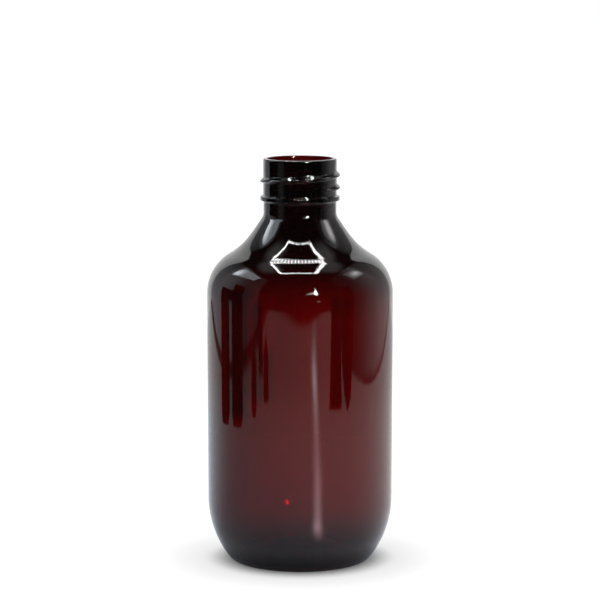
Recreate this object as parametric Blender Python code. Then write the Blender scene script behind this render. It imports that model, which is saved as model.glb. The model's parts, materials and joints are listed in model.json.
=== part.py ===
"""A round plastic bottle with a continuous-thread neck, as one blow-moulded wall.

Metres, +Z up. The origin is the centre of the standing ring's plane, on the bottle's axis.
The bottle is one closed turned shell, open at the mouth, with a helical thread joined to its neck.
"""

import math

import bmesh
import bpy
import numpy as np

# Overall sizes: the body widens slightly from the heel to the shoulder
HEIGHT = 0.1376
BODY_DIAMETER = 0.0630
BODY_TAPER = 0.0003

# Neck finish, for a 28 mm screw cap: the wall that carries the thread, and its rim
FINISH_DIAMETER = 0.0250
FINISH_WALL = 0.00145
RIM_OUTER_ROUND = 0.00045
RIM_INNER_ROUND = 0.00020

# Thread: one right-hand strand, placed by its lower end under the rim. The flank angles are from the
# horizontal: the lower one, which pulls the cap down, is the flatter
THREAD_DEPTH = 0.00115
THREAD_PITCH = 0.00423
THREAD_TURNS = 1.5
THREAD_CREST_WIDTH = 0.0004
THREAD_UPPER_FLANK_ANGLE = math.radians(44)
THREAD_LOWER_FLANK_ANGLE = math.radians(26)
THREAD_ROOT_SINK = 0.0004
THREAD_LOW_END_DEPTH = 0.0105
THREAD_LOW_END_AZIMUTH = math.radians(-59)
THREAD_FADE_ANGLE = math.radians(45)
THREAD_END_SWELL_SHARE = 0.2

# Transfer ring under the thread, with a level top, rounded edges and a slightly sloping underside
RING_TOP_DEPTH = 0.0126
RING_PROJECTION = 0.0010
RING_FACE_HEIGHT = 0.00085
RING_UNDERSIDE_SLOPE = math.radians(16)
RING_EDGE_ROUND = 0.0004
RING_ROOT_FILLET = 0.0004

# Neck under the ring, flare and shoulder: depths are measured down from the rim
NECK_STEP_IN = 0.0001
NECK_FOOT_DEPTH = 0.0183
FLARE_FILLET_RADIUS = 0.00335
FLARE_ANGLE = math.radians(33.7)
FLARE_TOP_HANDLE_SHARE = 0.49
FLARE_FOOT_HANDLE_SHARE = 0.35
SHOULDER_ANGLE = math.radians(58.5)
SHOULDER_RADIUS = 0.0154
SHOULDER_DEPTH = 0.04565

# Heel, standing ring and pushed-up base with the gate mark
HEEL_HEIGHT = 0.0213
HEEL_RADIUS = 0.0324
STANDING_CORNER_RADIUS = 0.0025
STANDING_RING_WIDTH = 0.0018
PUSH_UP_HEIGHT = 0.0055
PUSH_UP_FILLET_RADIUS = 0.0030
GATE_DIAMETER = 0.0044
GATE_HEIGHT = 0.0007

# Wall thickness down the blown part of the bottle: it becomes even a little below the shoulder
SHOULDER_TOP_WALL = 0.00120
SHOULDER_FOOT_WALL = 0.00068
BODY_WALL = 0.00055
EVEN_WALL_DEPTH = 0.0530
STANDING_WALL = 0.00080
BASE_CENTRE_WALL = 0.0017

# Facets
AROUND_STEPS = 48
FLARE_FILLET_STEPS = 3
FLARE_STEPS = 6
SHOULDER_STEPS = 7
HEEL_STEPS = 7
CORNER_STEPS = 3
DOME_STEPS = 4
EDGE_STEPS = 2
THREAD_STEPS_PER_TURN = 36
MERGE_DISTANCE = 0.000001
SHARP_ANGLE = math.radians(38)

# Finish of the plastic
AMBER = (0.10, 0.012, 0.008, 1.0)
ROUGHNESS = 0.05
METALLIC = 0.0
TRANSMISSION = 0.9
PLASTIC_IOR = 1.57

# Places that follow from the sizes
FINISH_RADIUS = FINISH_DIAMETER / 2
BORE_RADIUS = FINISH_RADIUS - FINISH_WALL
NECK_RADIUS = FINISH_RADIUS - NECK_STEP_IN
NECK_FOOT = HEIGHT - NECK_FOOT_DEPTH
BODY_RADIUS = BODY_DIAMETER / 2
SHOULDER_TOP_RADIUS = (BODY_DIAMETER + BODY_TAPER) / 2
SHOULDER_FOOT = HEIGHT - SHOULDER_DEPTH

# Directions in the section plane
OUT = 0
UP = math.pi / 2
IN = math.pi
DOWN = -math.pi / 2


def clear_scene():
    """Remove every object that the startup scene holds."""
    for thing in list(bpy.data.objects):
        bpy.data.objects.remove(thing, do_unlink=True)


def arc(centre, radius, start, end, steps):
    """Points (r, z) on a circle from one direction to another, both ends included."""
    angle = np.linspace(start, end, steps + 1)
    return np.column_stack([centre[0] + radius * np.cos(angle), centre[1] + radius * np.sin(angle)])


def curve_between(start, start_angle, start_share, end, end_angle, end_share, steps):
    """A cubic curve going up from start to end.

    Each end's direction is given by its angle from the vertical, leaning towards the axis, and its
    handle by a share of the straight distance between the ends."""
    span = np.linalg.norm(end - start)
    leave = start + start_share * span * np.array([-math.sin(start_angle), math.cos(start_angle)])
    reach = end - end_share * span * np.array([-math.sin(end_angle), math.cos(end_angle)])
    t = np.linspace(0, 1, steps + 1)[:, None]
    return (1 - t) ** 3 * start + 3 * (1 - t) ** 2 * t * leave + 3 * (1 - t) * t**2 * reach + t**3 * end


def joined(*stretches):
    """Stretches of points end to end, with each shared end kept once."""
    return np.vstack([stretches[0]] + [stretch[1:] for stretch in stretches[1:]])


def neck_outside():
    """Down the outside of the neck finish, from the rim's flat land to under the transfer ring."""
    ring_top = HEIGHT - RING_TOP_DEPTH
    face_top = ring_top - RING_EDGE_ROUND
    face_foot = face_top - RING_FACE_HEIGHT
    edge_radius = FINISH_RADIUS + RING_PROJECTION - RING_EDGE_ROUND
    rim_centre = (FINISH_RADIUS - RIM_OUTER_ROUND, HEIGHT - RIM_OUTER_ROUND)
    root_centre = (FINISH_RADIUS + RING_ROOT_FILLET, ring_top + RING_ROOT_FILLET)
    rim = arc(rim_centre, RIM_OUTER_ROUND, UP, OUT, EDGE_STEPS)
    root = arc(root_centre, RING_ROOT_FILLET, IN, IN + UP, EDGE_STEPS)
    edge = arc((edge_radius, face_top), RING_EDGE_ROUND, UP, OUT, EDGE_STEPS)
    under = arc((edge_radius, face_foot), RING_EDGE_ROUND, OUT, DOWN + RING_UNDERSIDE_SLOPE, EDGE_STEPS)
    slope_drop = (under[-1][0] - NECK_RADIUS) * math.tan(RING_UNDERSIDE_SLOPE)
    foot = (NECK_RADIUS, under[-1][1] - slope_drop)
    return np.vstack([rim, root, edge, under, foot])


def flare_and_shoulder():
    """Down the outside from the straight neck's foot to the top of the body wall: a small fillet,
    a hollow flare and the round shoulder, tangent to each other."""
    fillet_centre = (NECK_RADIUS + FLARE_FILLET_RADIUS, NECK_FOOT)
    shoulder_centre = (SHOULDER_TOP_RADIUS - SHOULDER_RADIUS, SHOULDER_FOOT)
    fillet = arc(fillet_centre, FLARE_FILLET_RADIUS, IN, IN + FLARE_ANGLE, FLARE_FILLET_STEPS)
    shoulder = arc(shoulder_centre, SHOULDER_RADIUS, SHOULDER_ANGLE, OUT, SHOULDER_STEPS)
    flare = curve_between(
        shoulder[0],
        SHOULDER_ANGLE,
        FLARE_FOOT_HANDLE_SHARE,
        fillet[-1],
        FLARE_ANGLE,
        FLARE_TOP_HANDLE_SHARE,
        FLARE_STEPS,
    )
    return joined(fillet, flare[::-1], shoulder)


def heel():
    """Down the outside from the foot of the body wall to the standing plane.

    The large heel arc is tangent to the wall. The small corner arc lies inside it, tangent to it
    and to the standing plane."""
    heel_centre = np.array([BODY_RADIUS - HEEL_RADIUS, HEEL_HEIGHT])
    reach = HEEL_RADIUS - STANDING_CORNER_RADIUS
    rise = HEEL_HEIGHT - STANDING_CORNER_RADIUS
    turn = math.asin(rise / reach)
    corner_centre = heel_centre + reach * np.array([math.cos(turn), -math.sin(turn)])
    large = arc(heel_centre, HEEL_RADIUS, OUT, -turn, HEEL_STEPS)
    small = arc(corner_centre, STANDING_CORNER_RADIUS, -turn, DOWN, CORNER_STEPS)
    return joined(large, small)


def push_up(standing_radius):
    """From the standing ring's inner edge to the base's centre, without the gate mark.

    A fillet lifts off the standing plane to the slope at which the dome, a parabola, begins."""
    inner_edge = standing_radius - STANDING_RING_WIDTH
    slope = math.atan(2 * PUSH_UP_HEIGHT / inner_edge)
    fillet_centre = (inner_edge, PUSH_UP_FILLET_RADIUS)
    fillet = arc(fillet_centre, PUSH_UP_FILLET_RADIUS, DOWN, DOWN - slope, CORNER_STEPS)
    foot_radius, foot_height = fillet[-1]
    share = np.linspace(1, 0, DOME_STEPS + 1)
    dome_height = PUSH_UP_HEIGHT - (PUSH_UP_HEIGHT - foot_height) * share**2
    return joined(fillet, np.column_stack([foot_radius * share, dome_height]))


def gate(base):
    """The gate mark that ends the outside, a low round stub at the base's centre."""
    radius = GATE_DIAMETER / 2
    top = np.interp(radius, base[::-1, 0], base[::-1, 1])
    low = PUSH_UP_HEIGHT - GATE_HEIGHT
    return np.array([[radius, top], [radius - GATE_HEIGHT / 2, low], [0, low]])


def offset_inwards(points, wall):
    """The inside meridian: each point moved in by its wall thickness, square to the outside."""
    along = np.vstack([points[1:], points[-1:]]) - np.vstack([points[:1], points[:-1]])
    along /= np.linalg.norm(along, axis=1)[:, None]
    inwards = np.column_stack([along[:, 1], -along[:, 0]])
    inwards[0] = (-1, 0)
    inwards[-1] = (0, 1)
    return points + inwards * wall[:, None]


def bottle_section():
    """The whole section: from the inner floor's centre up the bore, over the rim, down outside."""
    shoulder = flare_and_shoulder()
    wall_foot = np.array([BODY_RADIUS, HEEL_HEIGHT])
    even = HEIGHT - EVEN_WALL_DEPTH
    even_share = (SHOULDER_FOOT - even) / (SHOULDER_FOOT - HEEL_HEIGHT)
    wall = np.array([shoulder[-1], shoulder[-1] + even_share * (wall_foot - shoulder[-1]), wall_foot])
    body = joined(shoulder, wall, heel())
    base = push_up(body[-1][0])
    outside = np.vstack([body, base])

    shoulder_foot = len(shoulder) - 1
    heel_top = shoulder_foot + len(wall) - 1
    wall_at_row = {
        0: NECK_RADIUS - BORE_RADIUS,
        shoulder_foot - SHOULDER_STEPS: SHOULDER_TOP_WALL,
        shoulder_foot: SHOULDER_FOOT_WALL,
        shoulder_foot + 1: BODY_WALL,
        heel_top: BODY_WALL,
        len(body) - 1: STANDING_WALL,
        len(outside) - 1: BASE_CENTRE_WALL,
    }
    thickness = np.interp(np.arange(len(outside)), list(wall_at_row), list(wall_at_row.values()))
    inside = offset_inwards(outside, thickness)

    lip_centre = (BORE_RADIUS + RIM_INNER_ROUND, HEIGHT - RIM_INNER_ROUND)
    lip = arc(lip_centre, RIM_INNER_ROUND, IN, UP, EDGE_STEPS)
    kept = outside[outside[:, 0] > GATE_DIAMETER / 2]
    return np.vstack([inside[::-1], lip, neck_outside(), kept, gate(base)])


def turned(name, section):
    """A section in the XZ plane, spun once about Z, with the points on the axis made one."""
    shape = bmesh.new()
    points = [shape.verts.new((radius, 0, height)) for radius, height in section.tolist()]
    edges = [shape.edges.new(pair) for pair in zip(points, points[1:])]
    bmesh.ops.spin(
        shape,
        geom=points + edges,
        cent=(0, 0, 0),
        axis=(0, 0, 1),
        angle=2 * math.pi,
        steps=AROUND_STEPS,
        use_merge=True,
    )
    bmesh.ops.remove_doubles(shape, verts=shape.verts, dist=MERGE_DISTANCE)
    bmesh.ops.recalc_face_normals(shape, faces=shape.faces)
    return placed(name, shape)


def thread_strand(name):
    """The thread as one closed swept body, rooted in the neck wall and fading out at both ends."""
    turn = 2 * math.pi
    sweep = THREAD_TURNS * turn
    steps = round(THREAD_TURNS * THREAD_STEPS_PER_TURN)
    angle = np.linspace(0, sweep, steps + 1)
    near_end = np.clip(np.minimum(angle, sweep - angle) / THREAD_FADE_ANGLE, 0, 1)
    swell = THREAD_END_SWELL_SHARE + (1 - THREAD_END_SWELL_SHARE) * near_end**2 * (3 - 2 * near_end)
    height = HEIGHT - THREAD_LOW_END_DEPTH + THREAD_PITCH * angle / turn
    root = np.full_like(angle, FINISH_RADIUS - THREAD_ROOT_SINK)
    rise = (THREAD_DEPTH + THREAD_ROOT_SINK) * swell
    flat = THREAD_CREST_WIDTH / 2
    lower = flat + rise * math.tan(THREAD_LOWER_FLANK_ANGLE)
    upper = flat + rise * math.tan(THREAD_UPPER_FLANK_ANGLE)
    radii = np.column_stack([root, root + rise, root + rise, root])
    heights = np.column_stack([height - lower, height - flat, height + flat, height + upper])
    azimuth = (THREAD_LOW_END_AZIMUTH + angle)[:, None]
    rings = np.dstack([radii * np.cos(azimuth), radii * np.sin(azimuth), heights])

    shape = bmesh.new()
    rows = [[shape.verts.new(point) for point in ring] for ring in rings.tolist()]
    for row, following in zip(rows, rows[1:]):
        for side, corner in enumerate(row):
            shape.faces.new((corner, following[side], following[side - 1], row[side - 1]))
    shape.faces.new(rows[0])
    shape.faces.new(rows[-1])
    bmesh.ops.recalc_face_normals(shape, faces=shape.faces)
    return placed(name, shape)


def placed(name, shape):
    """Turn a bmesh into an object, smooth but for its sharp edges, at the origin."""
    mesh = bpy.data.meshes.new(name)
    shape.to_mesh(mesh)
    shape.free()
    mesh.shade_smooth()
    mesh.set_sharp_from_angle(angle=SHARP_ANGLE)
    thing = bpy.data.objects.new(name, mesh)
    bpy.context.scene.collection.objects.link(thing)
    return thing


def join_to(target, tool):
    """Union the tool with the target, and keep the tool itself out of renders."""
    union = target.modifiers.new("join " + tool.name, "BOOLEAN")
    union.operation = "UNION"
    union.solver = "EXACT"
    union.object = tool
    tool.hide_render = True
    tool.display_type = "WIRE"


def amber_plastic():
    """Clear dark amber bottle plastic with a polished surface."""
    material = bpy.data.materials.new("amber_plastic")
    material.use_nodes = True
    shader = material.node_tree.nodes["Principled BSDF"]
    shader.inputs["Base Color"].default_value = AMBER
    shader.inputs["Roughness"].default_value = ROUGHNESS
    shader.inputs["Metallic"].default_value = METALLIC
    shader.inputs["Transmission Weight"].default_value = TRANSMISSION
    shader.inputs["IOR"].default_value = PLASTIC_IOR
    return material


clear_scene()
bottle = turned("bottle", bottle_section())
bottle.data.materials.append(amber_plastic())
thread = thread_strand("thread_strand")
thread.data.materials.append(bottle.data.materials[0])
join_to(bottle, thread)
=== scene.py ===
# %% [markdown]
# # A dark amber plastic bottle with a screw neck
#
# The real bottle is one piece of clear plastic. A short thick tube, the preform, is moulded first with the
# finished neck on it. Then its lower end is heated, stretched and blown out against a mould. So the neck is
# thick and exact, the body is thin and slightly wavy, and the wall is one closed skin from the rim, down the
# outside, under the base and back up the inside.
#
# Here the same skin is worked out with numpy as one grid: rows run along the wall's section and columns run
# round the axis. The thread is a low relief on that grid, not a separate ring. A turned profile with a thread
# joined by a Boolean would also do, but it leaves long thin triangles beside the thread, and reflections on
# a glossy wall show every one of them.

import json
import math

import bpy
import numpy as np
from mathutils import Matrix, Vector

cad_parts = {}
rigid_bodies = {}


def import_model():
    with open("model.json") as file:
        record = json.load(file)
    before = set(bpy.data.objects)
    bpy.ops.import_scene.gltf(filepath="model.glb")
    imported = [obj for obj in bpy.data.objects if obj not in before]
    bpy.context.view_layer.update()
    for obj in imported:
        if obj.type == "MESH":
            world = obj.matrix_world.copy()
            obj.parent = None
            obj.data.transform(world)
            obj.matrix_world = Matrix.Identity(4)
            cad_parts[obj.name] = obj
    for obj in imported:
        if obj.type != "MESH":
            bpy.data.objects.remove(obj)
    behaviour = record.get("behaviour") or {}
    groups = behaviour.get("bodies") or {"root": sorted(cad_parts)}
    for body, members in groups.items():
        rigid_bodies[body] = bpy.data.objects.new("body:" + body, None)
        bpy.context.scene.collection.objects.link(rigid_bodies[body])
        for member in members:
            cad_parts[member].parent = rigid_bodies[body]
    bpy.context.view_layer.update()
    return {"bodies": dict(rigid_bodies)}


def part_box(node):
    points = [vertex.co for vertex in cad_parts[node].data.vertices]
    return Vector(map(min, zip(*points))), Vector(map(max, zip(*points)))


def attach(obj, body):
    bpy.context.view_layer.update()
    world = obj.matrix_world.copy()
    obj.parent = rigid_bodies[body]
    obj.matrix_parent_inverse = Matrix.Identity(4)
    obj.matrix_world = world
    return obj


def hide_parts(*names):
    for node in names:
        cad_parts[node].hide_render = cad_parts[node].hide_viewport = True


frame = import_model()
NODE = "bottle"
BODY_NAME = next(iter(frame["bodies"]))
low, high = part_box(NODE)
HEIGHT = high.z - low.z
WIDEST_RADIUS = (high.x - low.x) / 2
MM = 0.001
print(f"{NODE}: {2 * WIDEST_RADIUS / MM:.1f} mm wide, {HEIGHT / MM:.1f} mm tall, on body {BODY_NAME}")

# %% [markdown]
# ## The stretches of the section
#
# A bottle maker draws the section as arcs and straight lines that meet smoothly, because a mould cutter
# follows those best and because molten plastic thins at a sharp corner. The same few stretches are used
# here: an arc, a straight line and one cubic curve. Each gives points (r, z) as a numpy array, r out from the
# axis and z up from the table, and neighbouring stretches share their end point, which is kept once.

# %% Arcs, lines and one cubic curve
OUT = 0
UP = math.pi / 2
IN = math.pi
DOWN = -math.pi / 2


def arc(centre, radius, start, end, steps):
    """Points on a circle: the centre plus the radius times (cosine, sine) of evenly spaced angles."""
    angle = np.linspace(start, end, steps + 1)
    return np.column_stack([centre[0] + radius * np.cos(angle), centre[1] + radius * np.sin(angle)])


def line(start, end, steps):
    """Points on a straight line: start plus an evenly growing share of the way to end."""
    share = np.linspace(0, 1, steps + 1)[:, None]
    return np.asarray(start) + share * (np.asarray(end) - np.asarray(start))


def rising_curve(start, start_lean, start_share, end, end_lean, end_share, steps):
    """A cubic curve going up: it leaves start and reaches end at a given lean from the vertical,
    towards the axis. Each end's handle is a share of the straight distance between the ends."""
    span = np.linalg.norm(end - start)
    leave = start + start_share * span * np.array([-math.sin(start_lean), math.cos(start_lean)])
    reach = end - end_share * span * np.array([-math.sin(end_lean), math.cos(end_lean)])
    t = np.linspace(0, 1, steps + 1)[:, None]
    return (1 - t) ** 3 * start + 3 * (1 - t) ** 2 * t * leave + 3 * (1 - t) * t**2 * reach + t**3 * end


def joined(*stretches):
    """Stretches end to end, each shared end kept once."""
    return np.vstack([stretches[0]] + [stretch[1:] for stretch in stretches[1:]])


# %% [markdown]
# ## The neck: rim, thread wall and transfer ring
#
# The neck takes a standard 28 mm screw cap, so its sizes are a cap maker's: 25 mm over the wall, 27.3 mm
# over the thread. The flat land on the rim seals against the cap's liner. The ring under the thread is the
# shelf by which the bottle hangs on the filling line: square on top, sloping underneath so that it leaves
# the mould. All depths are measured down from the rim, as on a bottle drawing.
#
# The thread's stretch gets about nine rows to a millimetre, because its crest is only 0.4 mm wide.

# %% The outside of the neck
FINISH_RADIUS = 12.50 * MM
BORE_RADIUS = 11.05 * MM
RIM_OUTER_ROUND = 0.45 * MM
RIM_INNER_ROUND = 0.20 * MM
RING_TOP_DEPTH = 12.6 * MM
RING_PROJECTION = 1.0 * MM
RING_FACE_HEIGHT = 0.85 * MM
RING_UNDERSIDE_SLOPE = math.radians(16)
RING_EDGE_ROUND = 0.4 * MM
RING_ROOT_FILLET = 0.4 * MM
RING_FOOT_FILLET = 0.3 * MM
NECK_RADIUS = 12.40 * MM
NECK_FOOT_DEPTH = 18.3 * MM
THREAD_WALL_STEPS = 108
ROUND_STEPS = 6
FLAT_STEPS = 4


def neck_outside():
    """From the rim's flat land down to the neck's foot, as arcs and lines."""
    ring_radius = FINISH_RADIUS + RING_PROJECTION
    ring_top = HEIGHT - RING_TOP_DEPTH
    face_top = ring_top - RING_EDGE_ROUND
    face_foot = face_top - RING_FACE_HEIGHT
    edge_radius = ring_radius - RING_EDGE_ROUND
    root_radius = FINISH_RADIUS + RING_ROOT_FILLET
    rim_centre = (FINISH_RADIUS - RIM_OUTER_ROUND, HEIGHT - RIM_OUTER_ROUND)
    rim = arc(rim_centre, RIM_OUTER_ROUND, UP, OUT, ROUND_STEPS)
    root = arc((root_radius, ring_top + RING_ROOT_FILLET), RING_ROOT_FILLET, IN, IN + UP, ROUND_STEPS)
    edge = arc((edge_radius, face_top), RING_EDGE_ROUND, UP, OUT, ROUND_STEPS)
    under = arc((edge_radius, face_foot), RING_EDGE_ROUND, OUT, DOWN + RING_UNDERSIDE_SLOPE, ROUND_STEPS)
    slope_drop = (under[-1][0] - NECK_RADIUS - RING_FOOT_FILLET) * math.tan(RING_UNDERSIDE_SLOPE)
    foot_height = under[-1][1] - slope_drop - RING_FOOT_FILLET / math.cos(RING_UNDERSIDE_SLOPE)
    foot_centre = (NECK_RADIUS + RING_FOOT_FILLET, foot_height)
    foot = arc(foot_centre, RING_FOOT_FILLET, UP + RING_UNDERSIDE_SLOPE, IN, ROUND_STEPS)
    return joined(
        rim,
        line(rim[-1], root[0], THREAD_WALL_STEPS),
        root,
        line(root[-1], edge[0], FLAT_STEPS),
        edge,
        line(edge[-1], under[0], FLAT_STEPS),
        under,
        line(under[-1], foot[0], FLAT_STEPS),
        foot,
        line(foot[-1], (NECK_RADIUS, HEIGHT - NECK_FOOT_DEPTH), FLAT_STEPS),
    )


neck = neck_outside()
print(f"neck: {len(neck)} rows, from {neck[0][1] / MM:.1f} down to {neck[-1][1] / MM:.1f} mm")

# %% [markdown]
# ## The blown part: flare, shoulder, body, heel and base
#
# Below the neck everything is soft and round. A small fillet lifts off the straight neck, a hollow flare
# leads into the ball of the shoulder, and the body is a cylinder that widens by 0.3 mm towards the shoulder.
# The heel is one large arc. The bottle stands on a narrow ring, because a flat base would rock: the middle
# is pushed up into a shallow dome, and at its centre is the little stub where the plastic was injected.

# %% The outside of the blown part
BODY_RADIUS = 31.5 * MM
FLARE_FILLET_RADIUS = 3.35 * MM
FLARE_LEAN = math.radians(33.7)
FLARE_TOP_HANDLE_SHARE = 0.49
FLARE_FOOT_HANDLE_SHARE = 0.35
SHOULDER_LEAN = math.radians(58.5)
SHOULDER_RADIUS = 15.4 * MM
SHOULDER_DEPTH = 45.65 * MM
HEEL_HEIGHT = 21.3 * MM
HEEL_RADIUS = 32.4 * MM
STANDING_CORNER_RADIUS = 2.5 * MM
STANDING_RING_WIDTH = 1.8 * MM
PUSH_UP_HEIGHT = 5.5 * MM
PUSH_UP_FILLET_RADIUS = 3.0 * MM
GATE_RADIUS = 2.2 * MM
GATE_HEIGHT = 0.7 * MM
FILLET_STEPS = 8
FLARE_STEPS = 30
SHOULDER_STEPS = 34
BODY_STEPS = 24
HEEL_STEPS = 30
CORNER_STEPS = 10
DOME_STEPS = 24


def flare_and_shoulder():
    """A fillet off the neck, the hollow flare and the shoulder's arc, each tangent to the next."""
    fillet_centre = (NECK_RADIUS + FLARE_FILLET_RADIUS, HEIGHT - NECK_FOOT_DEPTH)
    shoulder_centre = (WIDEST_RADIUS - SHOULDER_RADIUS, HEIGHT - SHOULDER_DEPTH)
    fillet = arc(fillet_centre, FLARE_FILLET_RADIUS, IN, IN + FLARE_LEAN, FILLET_STEPS)
    shoulder = arc(shoulder_centre, SHOULDER_RADIUS, SHOULDER_LEAN, OUT, SHOULDER_STEPS)
    flare = rising_curve(
        shoulder[0],
        SHOULDER_LEAN,
        FLARE_FOOT_HANDLE_SHARE,
        fillet[-1],
        FLARE_LEAN,
        FLARE_TOP_HANDLE_SHARE,
        FLARE_STEPS,
    )
    return joined(fillet, flare[::-1], shoulder)


def heel():
    """One large arc tangent to the wall, then a small corner arc that lies inside it and touches
    both it and the table."""
    centre = np.array([BODY_RADIUS - HEEL_RADIUS, HEEL_HEIGHT])
    reach = HEEL_RADIUS - STANDING_CORNER_RADIUS
    turn = math.asin((HEEL_HEIGHT - STANDING_CORNER_RADIUS) / reach)
    corner = centre + reach * np.array([math.cos(turn), -math.sin(turn)])
    large = arc(centre, HEEL_RADIUS, OUT, -turn, HEEL_STEPS)
    return joined(large, arc(corner, STANDING_CORNER_RADIUS, -turn, DOWN, CORNER_STEPS))


def push_up(standing_radius):
    """From the standing ring to the base's centre: a fillet up to the slope at which a parabola
    begins, height = top minus a constant times r squared."""
    edge = standing_radius - STANDING_RING_WIDTH
    slope = math.atan(2 * PUSH_UP_HEIGHT / edge)
    fillet_centre = (edge, PUSH_UP_FILLET_RADIUS)
    fillet = arc(fillet_centre, PUSH_UP_FILLET_RADIUS, DOWN, DOWN - slope, FILLET_STEPS)
    share = np.linspace(1, 0, DOME_STEPS + 1)
    rise = PUSH_UP_HEIGHT - fillet[-1][1]
    dome = np.column_stack([fillet[-1][0] * share, PUSH_UP_HEIGHT - rise * share**2])
    return joined(line((standing_radius, 0), fillet[0], FLAT_STEPS), fillet, dome)


shoulder = flare_and_shoulder()
body = joined(shoulder, line(shoulder[-1], (BODY_RADIUS, HEEL_HEIGHT), BODY_STEPS), heel())
base = push_up(body[-1][0])
blown = joined(body, base)
print(f"blown part: {len(blown)} rows, standing on a ring {2 * body[-1][0] / MM:.1f} mm across")

# %% [markdown]
# ## The inside of the wall
#
# Where the preform stretches most, the wall is thinnest: half a millimetre on the body, 1.2 mm on the
# shoulder, and 1.7 mm at the centre of the base, which hardly stretches. In clear dark plastic this matters,
# because the colour lies in the depth of the wall. A thin wall glows red and a thick one looks black. So the
# inside is a true second surface: each row moved inwards, square to the outside, by the wall's thickness
# there.
#
# A preform is never blown quite evenly either, so one side of the body comes out thicker. That is a small
# sideways shift of the inside, which grows from nothing at the neck. It is what makes the colour deeper on
# one side of the bottle than on the other.

# %% Wall thickness and the inside
NECK_WALL = NECK_RADIUS - BORE_RADIUS
SHOULDER_TOP_WALL = 1.20 * MM
SHOULDER_FOOT_WALL = 0.68 * MM
BODY_WALL = 0.55 * MM
EVEN_WALL_DEPTH = 53.0 * MM
STANDING_WALL = 0.80 * MM
BASE_CENTRE_WALL = 1.7 * MM
UNEVENNESS = 0.10 * MM
THICK_SIDE_AZIMUTH = math.radians(188)
INSIDE_ROW_STEP = 2


def length_along(points):
    """The distance along a section to each of its points, summed from the first."""
    steps = np.linalg.norm(np.diff(points, axis=0), axis=1)
    return np.concatenate([[0], np.cumsum(steps)])


def moved_inwards(points, wall):
    """Each point plus its wall thickness times the inward normal, a quarter turn from the way on."""
    way = np.gradient(points, axis=0)
    way /= np.linalg.norm(way, axis=1)[:, None]
    normal = np.column_stack([way[:, 1], -way[:, 0]])
    normal[0] = (-1, 0)
    normal[-1] = (0, 1)
    return points + normal * wall[:, None]


def nearest_row(points, height):
    """The row of a falling section whose height is nearest to the one given."""
    return int(np.argmin(np.abs(points[:, 1] - height)))


wall_at_row = {
    0: NECK_WALL,
    len(shoulder) - 1 - SHOULDER_STEPS: SHOULDER_TOP_WALL,
    len(shoulder) - 1: SHOULDER_FOOT_WALL,
    nearest_row(body, HEIGHT - EVEN_WALL_DEPTH): BODY_WALL,
    nearest_row(body, HEEL_HEIGHT): BODY_WALL,
    len(body) - 1: STANDING_WALL,
    len(blown) - 1: BASE_CENTRE_WALL,
}
distance = length_along(blown)
wall = np.interp(distance, distance[list(wall_at_row)], list(wall_at_row.values()))
inside = moved_inwards(blown, wall)[::INSIDE_ROW_STEP]
inside[-1] = (0, PUSH_UP_HEIGHT + BASE_CENTRE_WALL)
print(f"wall: {wall.min() / MM:.2f} to {wall.max() / MM:.2f} mm")

# %% The whole section, from the inner floor's centre round to the gate
lip_centre = (BORE_RADIUS + RIM_INNER_ROUND, HEIGHT - RIM_INNER_ROUND)
lip = arc(lip_centre, RIM_INNER_ROUND, IN, UP, ROUND_STEPS)
bore = line(inside[0], lip[0], FLAT_STEPS)
land = line(lip[-1], neck[0], FLAT_STEPS)
gate_foot = (GATE_RADIUS, float(np.interp(GATE_RADIUS, base[::-1, 0], base[::-1, 1])))
gate_low = (GATE_RADIUS - GATE_HEIGHT / 2, PUSH_UP_HEIGHT - GATE_HEIGHT)
gate_side = line(gate_foot, gate_low, FLAT_STEPS)
gate = joined(gate_side, line(gate_low, (0, PUSH_UP_HEIGHT - GATE_HEIGHT), FLAT_STEPS))
kept = joined(neck, blown[blown[:, 0] > GATE_RADIUS])
section = np.vstack([joined(inside[::-1], bore, lip, land, kept), gate])
print(f"section: {len(section)} rows, {len(inside)} of them inside the blown part")

# %% [markdown]
# ## The thread as a relief
#
# The thread is one right-hand strand, one and a half turns long, that rises 4.23 mm a turn and fades into the
# wall at both ends. On a real bottle it is cut into the mould, so it is part of the skin. Here it is a
# height that is added to the neck's radius. For a point at azimuth a and height z, the strand passes at its
# low end's height plus the pitch times the turns made so far. How far the point lies above or below that
# line gives the height on a ramp with eased corners: a long one above the crest, and a short, nearly level
# one below it, which is the side that pulls the cap down. A sweep along a helix would need joining to the
# wall; a relief is part of it from the start.

# %% The thread's relief
THREAD_DEPTH = 1.15 * MM
THREAD_PITCH = 4.23 * MM
THREAD_TURNS = 1.5
THREAD_CREST_WIDTH = 0.4 * MM
THREAD_UPPER_FLANK_ANGLE = math.radians(44)
THREAD_LOWER_FLANK_ANGLE = math.radians(26)
THREAD_ROOT_SINK = 0.4 * MM
THREAD_LOW_END_DEPTH = 10.5 * MM
THREAD_LOW_END_AZIMUTH = math.radians(-59)
THREAD_FADE_ANGLE = math.radians(45)
THREAD_END_SWELL_SHARE = 0.2
THREAD_EASE_SHARE = 0.22
TURN = 2 * math.pi


def eased_ramp(share, ease):
    """0 below 0, 1 above 1 and straight between, with a parabola of half-width ease at each corner."""
    def corner(x):
        return np.where(x > ease, x, np.where(x < -ease, 0, (x + ease) ** 2 / (4 * ease)))

    return corner(share) - corner(share - 1)


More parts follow.
